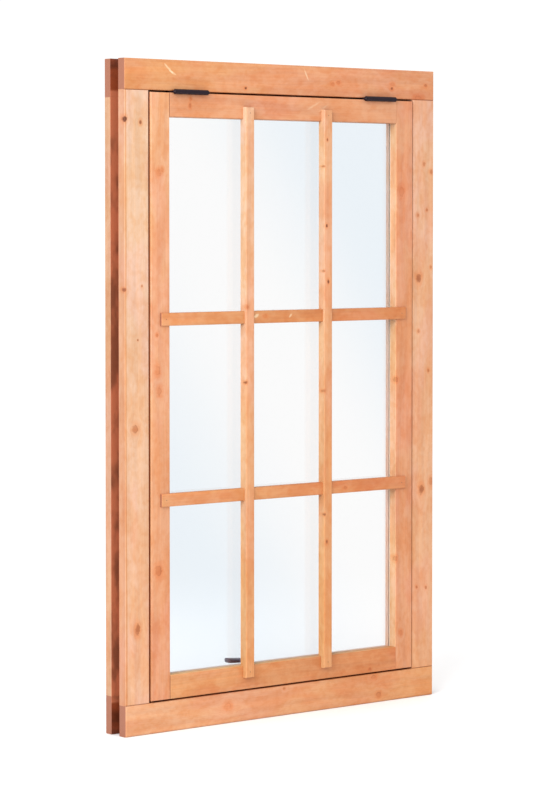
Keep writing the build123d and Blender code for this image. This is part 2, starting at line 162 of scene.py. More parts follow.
class GlassSettings(bpy.types.PropertyGroup):
    """Clear float glass."""

    clear: colour("Clear", "Tint where the pane looks clearest", (0.905, 0.905, 0.905))
    # Painted reflection: the clearest and bluest tints lay a diagonal gleam into the glass's colour
    painted_blue_gleam: colour("Cool", "Tint where the pane looks bluest", (0.78, 0.835, 0.88))
    tape: colour("Tape", "Cream glazing tape", (0.95, 0.80, 0.62))
    packer: colour("Packers", "Hard plastic packers under the pane", (0.05, 0.05, 0.05))


class IronSettings(bpy.types.PropertyGroup):
    """Enamelled and plated metal."""

    hinge: colour("Hinges", "Black satin enamel", (0.010, 0.003, 0.008))
    stay: colour("Stay", "Dark grey satin enamel", (0.10, 0.065, 0.10))
    screw: colour("Screws and nails", "Zinc-plated steel", (0.55, 0.53, 0.50))
    nail: colour("Bar pins", "Pins gone dull in the stain", (0.20, 0.10, 0.06))
    bracket_screw: length("Bracket screws", "Shank radius of the stay bracket's screws", 1.6 * MM)
    plate_screw: length("Plate screws", "Shank radius of the peg plate's screws", 1.75 * MM)
    roughness: factor("Enamel roughness", "How matt the enamel is", 0.42)


class StageSettings(bpy.types.PropertyGroup):
    """Camera, floor and light."""

    lens: FloatProperty(
        name="Lens", description="Focal length", default=128.4, subtype="DISTANCE_CAMERA"
    )
    azimuth: FloatProperty(name="Azimuth", description="Camera's bearing", default=-39.27)
    tilt: FloatProperty(name="Tilt", description="Degrees that the camera looks down", default=2.14)
    rise: FloatProperty(name="Rise", description="Shift of the picture on the film", default=-0.0875)
    place: FloatVectorProperty(
        name="Place",
        description="Camera's place",
        default=(-3.6406, -4.4255, 0.956),
        subtype="XYZ",
        unit="LENGTH",
    )
    floor: colour("Floor", "Pale floor", (0.96, 0.96, 0.96))
    sky: FloatProperty(name="Sky", description="Strength of the light from all round", default=1.06)
    key: FloatProperty(
        name="Key", description="Strength of the large soft light", default=150.0, unit="POWER"
    )


SETTINGS = {
    "timber": TimberSettings,
    "glass": GlassSettings,
    "iron": IronSettings,
    "stage": StageSettings,
}


class WindowSettings(bpy.types.PropertyGroup):
    """All the window's settings."""

    timber: PointerProperty(type=TimberSettings)
    glass: PointerProperty(type=GlassSettings)
    iron: PointerProperty(type=IronSettings)
    stage: PointerProperty(type=StageSettings)


def settings():
    return bpy.context.scene.top_hung_window


# Node trees


class Tree:
    """A material's node tree, with short calls for the nodes that the finishes use."""

    def __init__(self, name=None, tree=None):
        if tree is None:
            self.material = bpy.data.materials.new(name)
            self.material.use_nodes = True
            tree = self.material.node_tree
        self.tree = tree
        self.shader = tree.nodes.get("Principled BSDF")

    def node(self, kind, **values):
        node = self.tree.nodes.new(kind)
        for key, value in values.items():
            setattr(node, key, value)
        return node

    def feed(self, socket, value):
        """Link a socket to another, or set its value."""
        if isinstance(value, bpy.types.NodeSocket):
            self.tree.links.new(value, socket)
        elif value is not None:
            socket.default_value = value

    def math(self, operation, a, b=None, c=None):
        node = self.node("ShaderNodeMath", operation=operation)
        for socket, value in zip(node.inputs, (a, b, c)):
            self.feed(socket, value)
        return node.outputs[0]

    def span(self, value, low, high, to_low=0.0, to_high=1.0):
        """Smoothly carry one range of a value to another, without running past it."""
        node = self.node("ShaderNodeMapRange", interpolation_type="SMOOTHSTEP", clamp=True)
        for socket, given in zip(node.inputs, (value, low, high, to_low, to_high)):
            self.feed(socket, given)
        return node.outputs[0]

    def split(self, vector):
        node = self.node("ShaderNodeSeparateXYZ")
        self.feed(node.inputs[0], vector)
        return node.outputs

    def join(self, x, y, z):
        node = self.node("ShaderNodeCombineXYZ")
        for socket, value in zip(node.inputs, (x, y, z)):
            self.feed(socket, value)
        return node.outputs[0]

    def noise(self, vector, scale=1.0, detail=2.0, roughness=0.5):
        node = self.node("ShaderNodeTexNoise")
        self.feed(node.inputs["Vector"], vector)
        node.inputs["Scale"].default_value = scale
        node.inputs["Detail"].default_value = detail
        node.inputs["Roughness"].default_value = roughness
        return node.outputs["Fac"]

    def mix(self, share, a, b, blend="MIX"):
        node = self.node("ShaderNodeMix", data_type="RGBA", blend_type=blend)
        self.feed(node.inputs["Factor"], share)
        for socket, value in zip((node.inputs[6], node.inputs[7]), (a, b)):
            self.feed(socket, value if isinstance(value, bpy.types.NodeSocket) else (*value, 1.0))
        return node.outputs[2]

    def bump(self, height, distance, strength):
        node = self.node("ShaderNodeBump")
        self.feed(node.inputs["Height"], height)
        node.inputs["Distance"].default_value = distance
        node.inputs["Strength"].default_value = strength
        return node.outputs[0]


def toned(tone, share):
    """A tone made lighter (over 1) or darker (under 1)."""
    return tuple(min(1.0, part * share) for part in tone)


def knot_group():
    """One knot laid over those before it: a brown heart, a dark broken rim, an orange halo, and the
    sideways push that parts the grain round it. Reach is the distance from the knot's middle, measured
    in its own radius across, its longer radius along and its depth into the board."""
    group = bpy.data.node_groups.get("Knot")
    if group:
        return group
    group = bpy.data.node_groups.new("Knot", "ShaderNodeTree")
    given_names = ("Run", "Across", "Depth", "Wobble", "Heart", "Rim", "Halo", "Shift")
    given_names += ("At run", "At across", "Radius", "Stretch", "Dark")
    for name in given_names:
        group.interface.new_socket(name, in_out="INPUT", socket_type="NodeSocketFloat")
    for name in ("Heart", "Rim", "Halo", "Shift"):
        group.interface.new_socket(name, in_out="OUTPUT", socket_type="NodeSocketFloat")
    t = Tree(tree=group)
    given = t.node("NodeGroupInput").outputs
    result = t.node("NodeGroupOutput").inputs
    along = t.math("SUBTRACT", given["Run"], given["At run"])
    aside = t.math("SUBTRACT", given["Across"], given["At across"])
    u = t.math("DIVIDE", along, t.math("MULTIPLY", given["Radius"], given["Stretch"]))
    v = t.math("DIVIDE", aside, given["Radius"])
    w = t.math("DIVIDE", given["Depth"], 9.0 * MM)
    square = t.math("MULTIPLY_ADD", u, u, t.math("MULTIPLY_ADD", v, v, t.math("MULTIPLY", w, w)))
    reach = t.math("ADD", t.math("SQRT", square), given["Wobble"])
    dark = t.math("MULTIPLY", given["Dark"], given["Dark"])
    heart = t.math("MULTIPLY", t.span(reach, 0.55, 1.0, 1.0, 0.0), dark)
    off_rim = t.math("ABSOLUTE", t.math("SUBTRACT", reach, 0.9))
    lopsided = t.math("MULTIPLY_ADD", v, 0.35, 0.65)
    rim = t.math("MULTIPLY", t.span(off_rim, 0.0, 0.3, 1.0, 0.0), t.math("MULTIPLY", lopsided, given["Dark"]))
    halo = t.span(reach, 0.8, 2.8, 1.0, 0.0)
    parted = t.math("MULTIPLY", aside, t.span(reach, 0.6, 5.0, 0.8, 0.0))
    t.feed(result["Heart"], t.math("MAXIMUM", heart, given["Heart"]))
    t.feed(result["Rim"], t.math("MAXIMUM", rim, given["Rim"]))
    t.feed(result["Halo"], t.math("MAXIMUM", halo, given["Halo"]))
    t.feed(result["Shift"], t.math("SUBTRACT", given["Shift"], parted))
    return group


def flecked(t, body, run, across, wobble, flecks):
    """Pale flecks of torn grain: a short ragged stroke each (run, across, half length, half width, slope,
    strength). Distance is measured along and across the stroke in its own half length and half width."""
    for at_run, at_across, half_length, half_width, slope, strength in flecks:
        turn = math.atan(slope)
        u = t.math("SUBTRACT", run, at_run * MM)
        v = t.math("SUBTRACT", across, at_across * MM)
        along = t.math("MULTIPLY_ADD", u, math.cos(turn), t.math("MULTIPLY", v, math.sin(turn)))
        aside = t.math("MULTIPLY_ADD", v, math.cos(turn), t.math("MULTIPLY", u, -math.sin(turn)))
        along = t.math("DIVIDE", along, half_length * MM)
        aside = t.math("DIVIDE", aside, half_width * MM)
        reach = t.math("ADD", t.math("MULTIPLY", along, along), t.math("MULTIPLY", aside, aside))
        reach = t.math("MULTIPLY_ADD", wobble, 1.6, reach)
        pale = t.mix(1.0, body, (0.36, 0.36, 0.24), "SCREEN")
        body = t.mix(t.span(reach, 0.2, 1.8, strength, 0.0), body, pale)
    return body


def timber(board, tint, far_tint, along, knots, pith, streaks, gap_shade_faces):
    """Stained softwood on one board.

    Growth rings run round the pith (across, depth; in millimetres), which lies along the board beside it.
    A slow noise makes them sway, and each knot (run, across, radius, stretch, darkness) parts them. The
    stain's tone goes from tint at the board's low end to far_tint at its high end, in cloudy patches, and it
    soaks in deeper at sawn ends. Painted shade darkens the board in the wall channel and on the gap faces
    that its last argument lists by the ways they turn, and painted light and shade make the side faces of
    some boards lighter or darker."""
    look = settings().timber
    t = Tree(board)
    coordinates = t.node("ShaderNodeTexCoord").outputs
    x, y, z = t.split(coordinates["Object"])
    facing = t.split(coordinates["Normal"])
    low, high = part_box(board)
    run, across = (x, z) if along == "X" else (z, x)
    start, end = (low.x, high.x) if along == "X" else (low.z, high.z)
    tone = tuple(a * b for a, b in zip(look.stain, tint))
    far_tone = tuple(a * b for a, b in zip(look.stain, far_tint))
    depth = t.math("SUBTRACT", y, low.y)

    coarse = t.noise(t.join(run, across, y), 170.0, 3.0, 0.6)
    wobble = t.math("MULTIPLY", t.math("SUBTRACT", coarse, 0.5), 1.5)
    sway = t.noise(t.join(t.math("MULTIPLY", run, 0.16), across, y), 22.0, 1.0)
    shifted = t.math("MULTIPLY_ADD", sway, 12.0 * MM, across)
    heart = rim = halo = 0.0
    for at_run, at_across, radius, stretch, dark in knots:
        knot = t.node("ShaderNodeGroup", node_tree=knot_group())
        given = (run, across, depth, wobble, heart, rim, halo, shifted)
        given += (at_run * MM, at_across * MM, radius * MM, stretch, dark)
        for socket, value in zip(knot.inputs, given):
            t.feed(socket, value)
        heart, rim, halo, shifted = knot.outputs

    grain = t.join(0.0, t.math("SUBTRACT", shifted, pith[0] * MM), t.math("SUBTRACT", y, pith[1] * MM))
    rings = t.node("ShaderNodeTexWave", wave_type="RINGS", rings_direction="X", wave_profile="SAW")
    t.feed(rings.inputs["Vector"], grain)
    rings.inputs["Scale"].default_value = math.pi / 10.0 / look.ring_spacing
    rings.inputs["Distortion"].default_value = 2.2
    rings.inputs["Detail"].default_value = 2.0
    rings.inputs["Detail Scale"].default_value = 0.8
    ring = rings.outputs["Fac"]

    bands = t.noise(t.join(t.math("MULTIPLY", run, 0.06), shifted, y), 60.0, 3.0, 0.6)
    patches = t.noise(t.join(t.math("MULTIPLY", run, 0.5), shifted, y), 24.0, 3.0, 0.6)
    blush = t.noise(t.join(t.math("MULTIPLY", run, 0.4), across, y), 15.0, 2.0)
    mottle = t.noise(t.join(t.math("MULTIPLY", run, 0.7), shifted, y), 95.0, 3.0, 0.6)
    fibres = t.noise(t.join(t.math("MULTIPLY", run, 0.03), shifted, y), 900.0, 2.0)

    body = t.mix(t.span(run, start, end), tone, far_tone)
    body = t.mix(t.span(bands, 0.36, 0.64, 0.0, 0.75), body, look.pale_grain, "SOFT_LIGHT")
    body = t.mix(t.span(patches, 0.42, 0.6, 0.0, 0.68), body, look.deep_grain, "SOFT_LIGHT")
    body = t.mix(t.span(blush, 0.45, 0.62, 0.0, 0.6), body, look.blush, "SOFT_LIGHT")
    body = t.mix(t.span(mottle, 0.4, 0.65, 0.0, 0.5), body, look.deep_grain, "SOFT_LIGHT")
    body = t.mix(t.math("MULTIPLY", ring, 0.09), body, t.mix(1.0, body, (0.55, 0.42, 0.36), "MULTIPLY"))
    body = t.mix(t.span(fibres, 0.3, 0.75, 0.0, 0.08), body, t.mix(1.0, body, (0.6, 0.5, 0.45), "MULTIPLY"))
    for at, width, share in streaks:
        off = t.math("ABSOLUTE", t.math("SUBTRACT", t.math("MULTIPLY_ADD", sway, 4.0 * MM, across), at * MM))
        streak = t.span(off, 0.0, width * MM, share, 0.0)
        body = t.mix(streak, body, t.mix(1.0, body, (0.86, 0.62, 0.38), "MULTIPLY"))
    if knots:
        body = t.mix(t.math("MULTIPLY", halo, 0.6), body, t.mix(1.0, body, (0.97, 0.62, 0.34), "MULTIPLY"))
        body = t.mix(t.math("MULTIPLY", heart, 0.95), body, look.knot)
        body = t.mix(t.math("MULTIPLY", rim, 0.8), body, toned(look.knot, 0.5))
        body = t.mix(t.span(heart, 0.6, 1.0, 0.0, 0.75), body, toned(look.knot, 0.2))

    body = flecked(t, body, run, across, wobble, FLECKS.get(board, ()))
    # Painted light and shade: the side faces of the boards in the side light table are made lighter or darker
    # for how light falls on them
    if board in PAINTED_SIDE_LIGHT:
        painted_side_light_mask = t.span(t.math("ABSOLUTE", facing["Y"]), 0.3, 0.8, 1.0, 0.0)
        body = t.mix(painted_side_light_mask, body, t.mix(1.0, body, PAINTED_SIDE_LIGHT[board], "MULTIPLY"))
    sawn = t.span(t.math("ABSOLUTE", facing["X" if along == "X" else "Z"]), 0.6, 0.9)
    end_tone = t.mix(t.math("MULTIPLY", ring, 0.5), look.end_grain, toned(look.end_grain, 0.6))
    body = t.mix(sawn, body, end_tone)
    # Painted shade in the wall channel: the channel colour, darker still towards the channel's ends, stands
    # in for the shade there
    off_middle = t.math("ABSOLUTE", t.math("SUBTRACT", z, CORE_MIDDLE))
    level = t.math("ADD", off_middle, CORE_HALF_WIDTH - CORE_HALF_HEIGHT)
    off_core = t.math("MAXIMUM", t.math("ABSOLUTE", x), level)
    outside = t.span(off_core, CORE_HALF_WIDTH - 0.7 * MM, CORE_HALF_WIDTH - 0.1 * MM)
    near_middle = t.span(
        t.math("ABSOLUTE", y), CHANNEL_HALF_GAP + 0.2 * MM, CHANNEL_HALF_GAP + 1.1 * MM, 1.0, 0.0
    )
    in_channel = t.math("MULTIPLY", outside, near_middle)
    painted_channel_shade = t.mix(t.span(patches, 0.38, 0.6), toned(look.channel, 1.25), toned(look.channel, 0.6))
    painted_channel_shade = t.mix(heart, painted_channel_shade, toned(look.channel, 0.3)) if knots else painted_channel_shade
    to_end = t.span(off_middle, CORE_HALF_HEIGHT - 32.0 * MM, CORE_HALF_HEIGHT - 26.0 * MM)
    painted_channel_shade = t.mix(to_end, painted_channel_shade, t.mix(1.0, painted_channel_shade, (0.52, 0.34, 0.22), "MULTIPLY"))
    body = t.mix(in_channel, body, painted_channel_shade)
    # Painted shade on the listed faces where they lie within the gap round the sash
    for axis, sign in gap_shade_faces:
        that_way = t.span(t.math("MULTIPLY", facing[axis], sign), 0.55, 0.95)
        deep = t.span(y, CASING_FRONT + 0.5 * MM, CASING_FRONT + 3.0 * MM)
        body = t.mix(t.math("MULTIPLY", that_way, deep), body, look.gap)
    t.feed(t.shader.inputs["Base Color"], body)

    relief = t.math("ADD", t.math("MULTIPLY", ring, 0.4), t.math("MULTIPLY", fibres, 0.6))
    t.feed(t.shader.inputs["Normal"], t.bump(relief, 0.25 * MM, 0.5))
    gloss = t.math("MULTIPLY_ADD", fibres, 0.16, look.sheen - 0.08)
    t.feed(t.shader.inputs["Roughness"], gloss)
    t.shader.inputs["Specular IOR Level"].default_value = 0.35
    return t.material


def enamel(name, tone, gloss):
    """Satin enamel over iron: fine orange-peel relief and slightly uneven gloss."""
    look = settings().iron
    t = Tree(name)
    place = t.node("ShaderNodeTexCoord").outputs["Object"]
    peel = t.noise(place, 900.0, 2.0)
    cloud = t.noise(place, 120.0, 2.0)
    t.feed(t.shader.inputs["Base Color"], t.mix(t.span(cloud, 0.3, 0.7), toned(tone, 0.8), toned(tone, 1.3)))
    t.feed(t.shader.inputs["Roughness"], t.math("MULTIPLY_ADD", cloud, 0.2, look.roughness - 0.1))
    t.feed(t.shader.inputs["Normal"], t.bump(peel, 0.06 * MM, 0.4))
    t.shader.inputs["Specular IOR Level"].default_value = gloss
    return t.material


def plated_steel(name):
    """Zinc-plated steel with faint streaks."""
    look = settings().iron
    t = Tree(name)
    place = t.node("ShaderNodeTexCoord").outputs["Object"]
    cloud = t.noise(place, 400.0, 3.0)
    t.feed(t.shader.inputs["Base Color"], t.mix(cloud, toned(look.screw, 0.8), toned(look.screw, 1.15)))
    t.feed(t.shader.inputs["Roughness"], t.math("MULTIPLY_ADD", cloud, 0.25, 0.25))
    t.shader.inputs["Metallic"].default_value = 1.0
    return t.material


def clear_glass():
    """Float glass. A painted reflection: its faint blue tint grows with the distance from a clear line that
    slants down the pane from its upper left corner, and stands in for a soft diagonal gleam of reflected
    light."""
    look = settings().glass
    t = Tree("clear_glass")
    x, y, z = t.split(t.node("ShaderNodeTexCoord").outputs["Object"])
    # Painted reflection: a soft diagonal gleam, bluer away from the clear slanting line
    slant = t.math("MULTIPLY_ADD", x, 1.5, t.math("SUBTRACT", z, 650.0 * MM))
    off = t.math("ABSOLUTE", t.math("DIVIDE", slant, math.hypot(1.5, 1.0)))
    soft = t.noise(t.join(slant, t.math("MULTIPLY", x, 0.4), y), 3.0, 1.0)
    off = t.math("ADD", off, t.math("MULTIPLY", t.math("SUBTRACT", soft, 0.5), 80.0 * MM))
    t.feed(t.shader.inputs["Base Color"], t.mix(t.span(off, 40.0 * MM, 380.0 * MM), look.clear, look.painted_blue_gleam))
    t.shader.inputs["Roughness"].default_value = 0.0
    t.shader.inputs["Transmission Weight"].default_value = 1.0
    t.shader.inputs["IOR"].default_value = 1.45
    t.shader.inputs["Specular IOR Level"].default_value = 0.1
    return t.material


def crumbed(name, tone):
    """Glazing tape and hard packers: matt, with a fine crumb."""
    t = Tree(name)
    place = t.node("ShaderNodeTexCoord").outputs["Object"]
    crumb = t.noise(place, 1500.0, 2.0)
    t.feed(t.shader.inputs["Base Color"], t.mix(crumb, toned(tone, 0.7), toned(tone, 1.4)))
    t.feed(t.shader.inputs["Normal"], t.bump(crumb, 0.1 * MM, 0.5))
    t.shader.inputs["Roughness"].default_value = 0.85
    return t.material


def finish(material, *names):
    """Give CAD nodes a material."""
    for name in names:
        slots = NODES[name].data.materials
        slots.clear()
        slots.append(material)


# Surfaces


def closed_skin(grid):
    """Points and faces of a closed skin over a grid of points (rows along it, columns round it). Four
    neighbours make a face, the last column joins the first, and each end row is closed on its middle.
    The faces are turned round where the skin's volume, the sum of a . (b x c) / 6, comes out negative."""
    rows, columns = grid.shape[:2]
    points = np.vstack((grid.reshape(-1, 3), grid[0].mean(axis=0), grid[-1].mean(axis=0)))
    here = np.arange(rows * columns).reshape(rows, columns)
    there = np.roll(here, -1, axis=1)
    sides = np.stack((here[:-1], here[1:], there[1:], there[:-1]), axis=-1).reshape(-1, 4)
    first = np.stack((np.full(columns, rows * columns), here[0], there[0]), axis=-1)
    last = np.stack((np.full(columns, rows * columns + 1), there[-1], here[-1]), axis=-1)
    caps = np.vstack((first, last))
    triangles = points[np.vstack((sides[:, :3], sides[:, [0, 2, 3]], caps))]
    if np.einsum("ij,ij->", triangles[:, 0], np.cross(triangles[:, 1], triangles[:, 2])) < 0.0:
        sides, caps = sides[:, ::-1], caps[:, ::-1]
    return points, sides, caps


def piece(name, skins, material, body, stands_for):
    """One object made of closed skins, which rides on a body and stands for a CAD node."""
    points, faces, start = [], [], 0
    for corners, sides, caps in skins:
        points.append(corners)
        faces += (sides + start).tolist() + (caps + start).tolist()
        start += len(corners)
    mesh = bpy.data.meshes.new(name)
    mesh.from_pydata(np.vstack(points).tolist(), [], faces)
    mesh.shade_smooth()
    mesh.set_sharp_from_angle(angle=math.radians(40.0))
    mesh.materials.append(material)
    made = bpy.data.objects.new(name, mesh)
    bpy.context.scene.collection.objects.link(made)
    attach(made, body)
    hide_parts(stands_for)
    return made


def turned(profile, start, direction, columns=32):
    """A profile of (distance along, radius) pairs turned round an axis, in metres: each point is the start,
    plus the distance times the direction, plus the radius times a unit vector that goes round it."""
    axis = np.array(direction, float)
    side = np.roll(axis, 1)
    up = np.cross(axis, side)
    angle = np.linspace(0.0, 2.0 * np.pi, columns, endpoint=False)[None, :, None]
    along, radius = (np.array(values)[:, None, None] for values in zip(*profile))
    return np.array(start) + along * axis + radius * (np.cos(angle) * side + np.sin(angle) * up)


def screw_skin(start, direction, radius, length):
    """A countersunk screw with a cross recess. The head's face is sunk by
    0.9 radius x (1 - reach / 1.25 radius) wherever reach x |sin 2 angle| / 2 is within a quarter radius of
    an arm of the cross; under it the cone runs down to the shank and the point."""
    columns = 48
    ring = np.linspace(0.04, 1.0, 14) * 1.78 * radius
    profile = [(0.0, reach) for reach in ring]
    profile += [(0.12 * radius, 1.85 * radius), (0.8 * radius, radius), (length - 2.0 * radius, radius)]
    profile += [(length, 0.2 * radius)]
    grid = turned(profile, start, direction, columns)
    angle = np.linspace(0.0, 2.0 * np.pi, columns, endpoint=False)[None, :]
    reach = ring[:, None]
    off_arm = reach * np.abs(np.sin(2.0 * angle)) / 2.0
    slope = np.clip(1.0 - reach / (1.25 * radius), 0.0, 1.0)
    wall = np.clip(2.2 - off_arm / (0.14 * radius), 0.0, 1.0)
    sunk = 0.9 * radius * slope * wall
    grid[: len(ring)] += sunk[:, :, None] * np.array(direction, float)
    return closed_skin(grid)


def lay_boards(boards):
    """Give each board its timber. A board is its node, tint, far tint, the way its grain runs, knots, pith,
    streaks and the faces that get painted gap shade."""
    for board in boards:
        finish(timber(*board), board[0])


def hinge_pin_skin(low, high, middle):
    """A hinge pin: its shank runs through the knuckles, and at each end a finial swells to 4.7 mm and
    draws in to a soft tip, radius = 4.7 x (1 - 0.72 (3 s^2 - 2 s^3)) for s from 0 at the knuckle to 1."""
    step = np.linspace(0.0, 1.0, 12)
    finial = 4.7 * MM * (1.0 - 0.72 * step * step * (3.0 - 2.0 * step))
    out = 4.6 * MM * step
    reach = (high[0] - low[0]) / 2.0 - 5.0 * MM
    one_end = [(reach - 0.3 * MM, 2.5 * MM), (reach, 2.5 * MM), (reach, 4.4 * MM)]
    one_end += list(zip(reach + 0.1 * MM + out, finial))
    one_end += [(reach + 4.95 * MM, 0.8 * MM)]
    profile = [(-along, radius) for along, radius in reversed(one_end)] + one_end
    return closed_skin(turned(profile, middle, (1.0, 0.0, 0.0)))


def grip_skin(low, high):
    """A flat grip that rises towards its free end. Its section is a superellipse of power 4,
    across = half width x cos^(1/2), up = half height x sin^(1/2); middle height and half height run
    straight from root to end, and within a few millimetres of each end both halves draw in as a quarter
    circle does."""
    rows, columns = 40, 48
    step = np.linspace(0.0, 1.0, rows)
    ease = 0.5 - 0.5 * np.cos(np.pi * step)
    along = low[0] + (high[0] - low[0]) * ease
    free = 1.0 - ease
    bottom = low[2] + (2.0 * MM) * free
    top = high[2] - (4.0 * MM) * (1.0 - free)
    to_end = np.minimum(along - low[0], high[0] - along)
    wide_round = np.sqrt(1.0 - (1.0 - np.clip(to_end / (5.0 * MM), 0.0, 1.0)) ** 2)
    thin_round = np.sqrt(1.0 - (1.0 - np.clip(to_end / (2.2 * MM), 0.0, 1.0)) ** 2)
    half_width = (high[1] - low[1]) / 2.0 - 5.0 * MM * (1.0 - wide_round)
    half_height = (top - bottom) / 2.0 - 1.8 * MM * (1.0 - thin_round)
    angle = np.linspace(0.0, 2.0 * np.pi, columns, endpoint=False)
    cosine, sine = np.cos(angle), np.sin(angle)
    across = np.sign(cosine) * np.abs(cosine) ** 0.5
    upward = np.sign(sine) * np.abs(sine) ** 0.5
    grid = np.empty((rows, columns, 3))
    grid[:, :, 0] = along[:, None]
    grid[:, :, 1] = (low[1] + high[1]) / 2.0 + half_width[:, None] * across
    grid[:, :, 2] = ((top + bottom) / 2.0)[:, None] + half_height[:, None] * upward
    return closed_skin(grid)


def pane_skin(low, high):
    """A pane with ground edges: its outline is carried through its thickness, and stands in by the width
    of the ground edge at both faces. The back face keeps a hair's breadth off the beads."""
    ground, air = 0.6 * MM, 0.12 * MM
    front, back = low[1] + air, high[1] - air
    depth = np.array([front, front + ground, back - ground, back])[:, None]
    inset = np.array([ground, 0.0, 0.0, ground])[:, None]
    across = np.array([low[0], high[0], high[0], low[0]]) + inset * np.array([1.0, -1.0, -1.0, 1.0])
    upward = np.array([low[2], low[2], high[2], high[2]]) + inset * np.array([1.0, 1.0, -1.0, -1.0])
    return closed_skin(np.stack(np.broadcast_arrays(across, depth, upward), axis=-1))


def place_of(node):
    """A CAD node's lowest and highest corners as arrays, and its middle."""
    low, high = (np.array(corner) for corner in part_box(node))
    return low, high, (low + high) / 2.0


# Operators


class WINDOW_OT_stage(bpy.types.Operator):
    """Camera, pale floor and soft light"""

    bl_idname = "window.stage"
    bl_label = "Stage"

    def execute(self, context):
        look = settings().stage
        scene = context.scene
        scene.view_settings.view_transform = "Standard"

        camera = bpy.data.objects.new("camera", bpy.data.cameras.new("camera"))
        scene.collection.objects.link(camera)
        camera.data.lens = look.lens
        camera.data.shift_y = look.rise
        camera.data.clip_end = 100.0
        camera.location = look.place
        camera.rotation_euler = (math.radians(90.0 - look.tilt), 0.0, math.radians(look.azimuth))
        scene.camera = camera

        low = CAD_BOX[0].z - 0.5 * MM
        mesh = bpy.data.meshes.new("floor")
        angle = np.linspace(0.0, 2.0 * np.pi, FLOOR_CORNERS, endpoint=False)
        east, north = FLOOR_RADIUS * np.cos(angle), FLOOR_RADIUS * np.sin(angle)
        rim = np.stack((east, north, np.full(FLOOR_CORNERS, low)), axis=-1)
        mesh.from_pydata(rim.tolist(), [], [list(range(FLOOR_CORNERS))])
        floor = bpy.data.objects.new("floor", mesh)
        scene.collection.objects.link(floor)
        t = Tree("pale_floor")
        place = t.node("ShaderNodeTexCoord").outputs["Object"]
        speckle = t.noise(place, 3.0)
        t.shader.inputs["Roughness"].default_value = 1.0
        t.shader.inputs["Specular IOR Level"].default_value = 0.0
        east, north = t.split(place)[:2]
        away = t.node("ShaderNodeVectorMath", operation="LENGTH")
        t.feed(away.inputs[0], t.join(east, north, 0.0))
        far_off = t.span(away.outputs["Value"], FLOOR_PLAIN, FLOOR_GLOWING)
        tone = t.mix(speckle, look.floor, toned(look.floor, 0.99))
        t.feed(t.shader.inputs["Base Color"], t.mix(far_off, tone, (0.02, 0.02, 0.02)))
        t.shader.inputs["Emission Color"].default_value = (1.0, 1.0, 1.0, 1.0)
        t.feed(t.shader.inputs["Emission Strength"], t.math("MULTIPLY", far_off, 0.98 * look.sky))
        mesh.materials.append(t.material)

        world = bpy.data.worlds.new("soft_room")
        scene.world = world
        world.use_nodes = True
        world.node_tree.nodes["Background"].inputs["Color"].default_value = (1.0, 1.0, 1.0, 1.0)
        world.node_tree.nodes["Background"].inputs["Strength"].default_value = look.sky

        lamp = bpy.data.lights.new("soft_key", "AREA")
        lamp.energy = look.key
        lamp.size = KEY_SIZE
        key = bpy.data.objects.new("soft_key", lamp)
        scene.collection.objects.link(key)
        key.location = KEY_PLACE
        aim = Vector(KEY_AIM) - key.location
        key.rotation_euler = aim.to_track_quat("-Z", "Y").to_euler()
        return {"FINISHED"}


class WINDOW_OT_casings(bpy.types.Operator):
    """Outdoor and indoor casing boards"""

    bl_idname = "window.casings"
    bl_label = "Casings"

    def execute(self, context):
        top = (
            (-103, 1222, 2.6, 1.2, 1.0), (138, 1241, 3, 1.5, 0.5), (123, 1237, 3, 1.2, 0.4),
            (283, 1233, 3, 1.2, 0.9), (285, 1242, 3.5, 1.4, 0.3), (377, 1242, 3, 1.1, 0.8),
            (355, 1216, 4, 2.4, 0.4),
        )
        bottom = (
            (-149, 2, 6, 1.4, 0.2), (-4, 22, 2.4, 1.2, 0.7), (235, 21, 4, 1.4, 0.5), (249, -17, 5, 1.2, 0.5),
        )
        left = (
            (1155, -399, 4.5, 1.2, 1.0), (1150, -362, 3, 1.4, 0.9), (836, -359, 1.6, 1.2, 0.8),
            (829, -400, 3, 1.2, 0.9), (732, -369, 1.6, 1.1, 1.0), (561, -376, 6.5, 1.2, 0.75),
            (174, -371, 5, 2.0, 0.85),
        )
        right = (
            (1079, 373, 3, 1.4, 0.7), (1064, 393, 3, 1.4, 0.7), (984, 381, 2.4, 1.2, 0.8),
            (973, 356, 2.4, 1.2, 0.7), (865, 392, 2.4, 1.3, 0.7), (842, 358, 6.5, 1.4, 0.86),
            (732, 358, 3, 1.2, 0.7), (649, 386, 2.6, 1.2, 0.8), (401, 367, 6, 1.5, 0.86),
            (417, 394, 5, 1.6, 0.6), (198, 354, 2.4, 1.1, 0.8), (195, 380, 2.4, 1.3, 0.8),
        )
        streak = ((-395, 3.4, 0.9),)
        # Painted shade: each board's last entry lists its faces that get painted gap shade
        boards = (
            ("front_casing_top", HONEY, ROSE_TAN, "X", top, (1300, 50), (), (("Z", -1),)),
            ("front_casing_bottom", PEACH, HONEY, "X", bottom, (-90, 30), (), (("Z", 1),)),
            ("front_casing_left", PALE_PEACH, PALE_CREAM, "Z", left, (-430, 20), streak, (("X", 1),)),
            ("front_casing_right", PEACH, PALE_PEACH, "Z", right, (300, 40), (), ()),
            ("back_casing_top", UNTINTED, UNTINTED, "X", (), (1220, -20), (), ()),
            ("back_casing_bottom", UNTINTED, UNTINTED, "X", (), (60, -30), (), ()),
            # Painted shade: the left back casing's darker, pinker tone stands in for the shade on it
            ("back_casing_left", SHADED_DUSKY_PINK, SHADED_DUSKY_PINK, "Z", (), (-350, -20), (), ()),
            ("back_casing_right", UNTINTED, UNTINTED, "Z", (), (410, -40), (), ()),
        )
        lay_boards(boards)
        return {"FINISHED"}


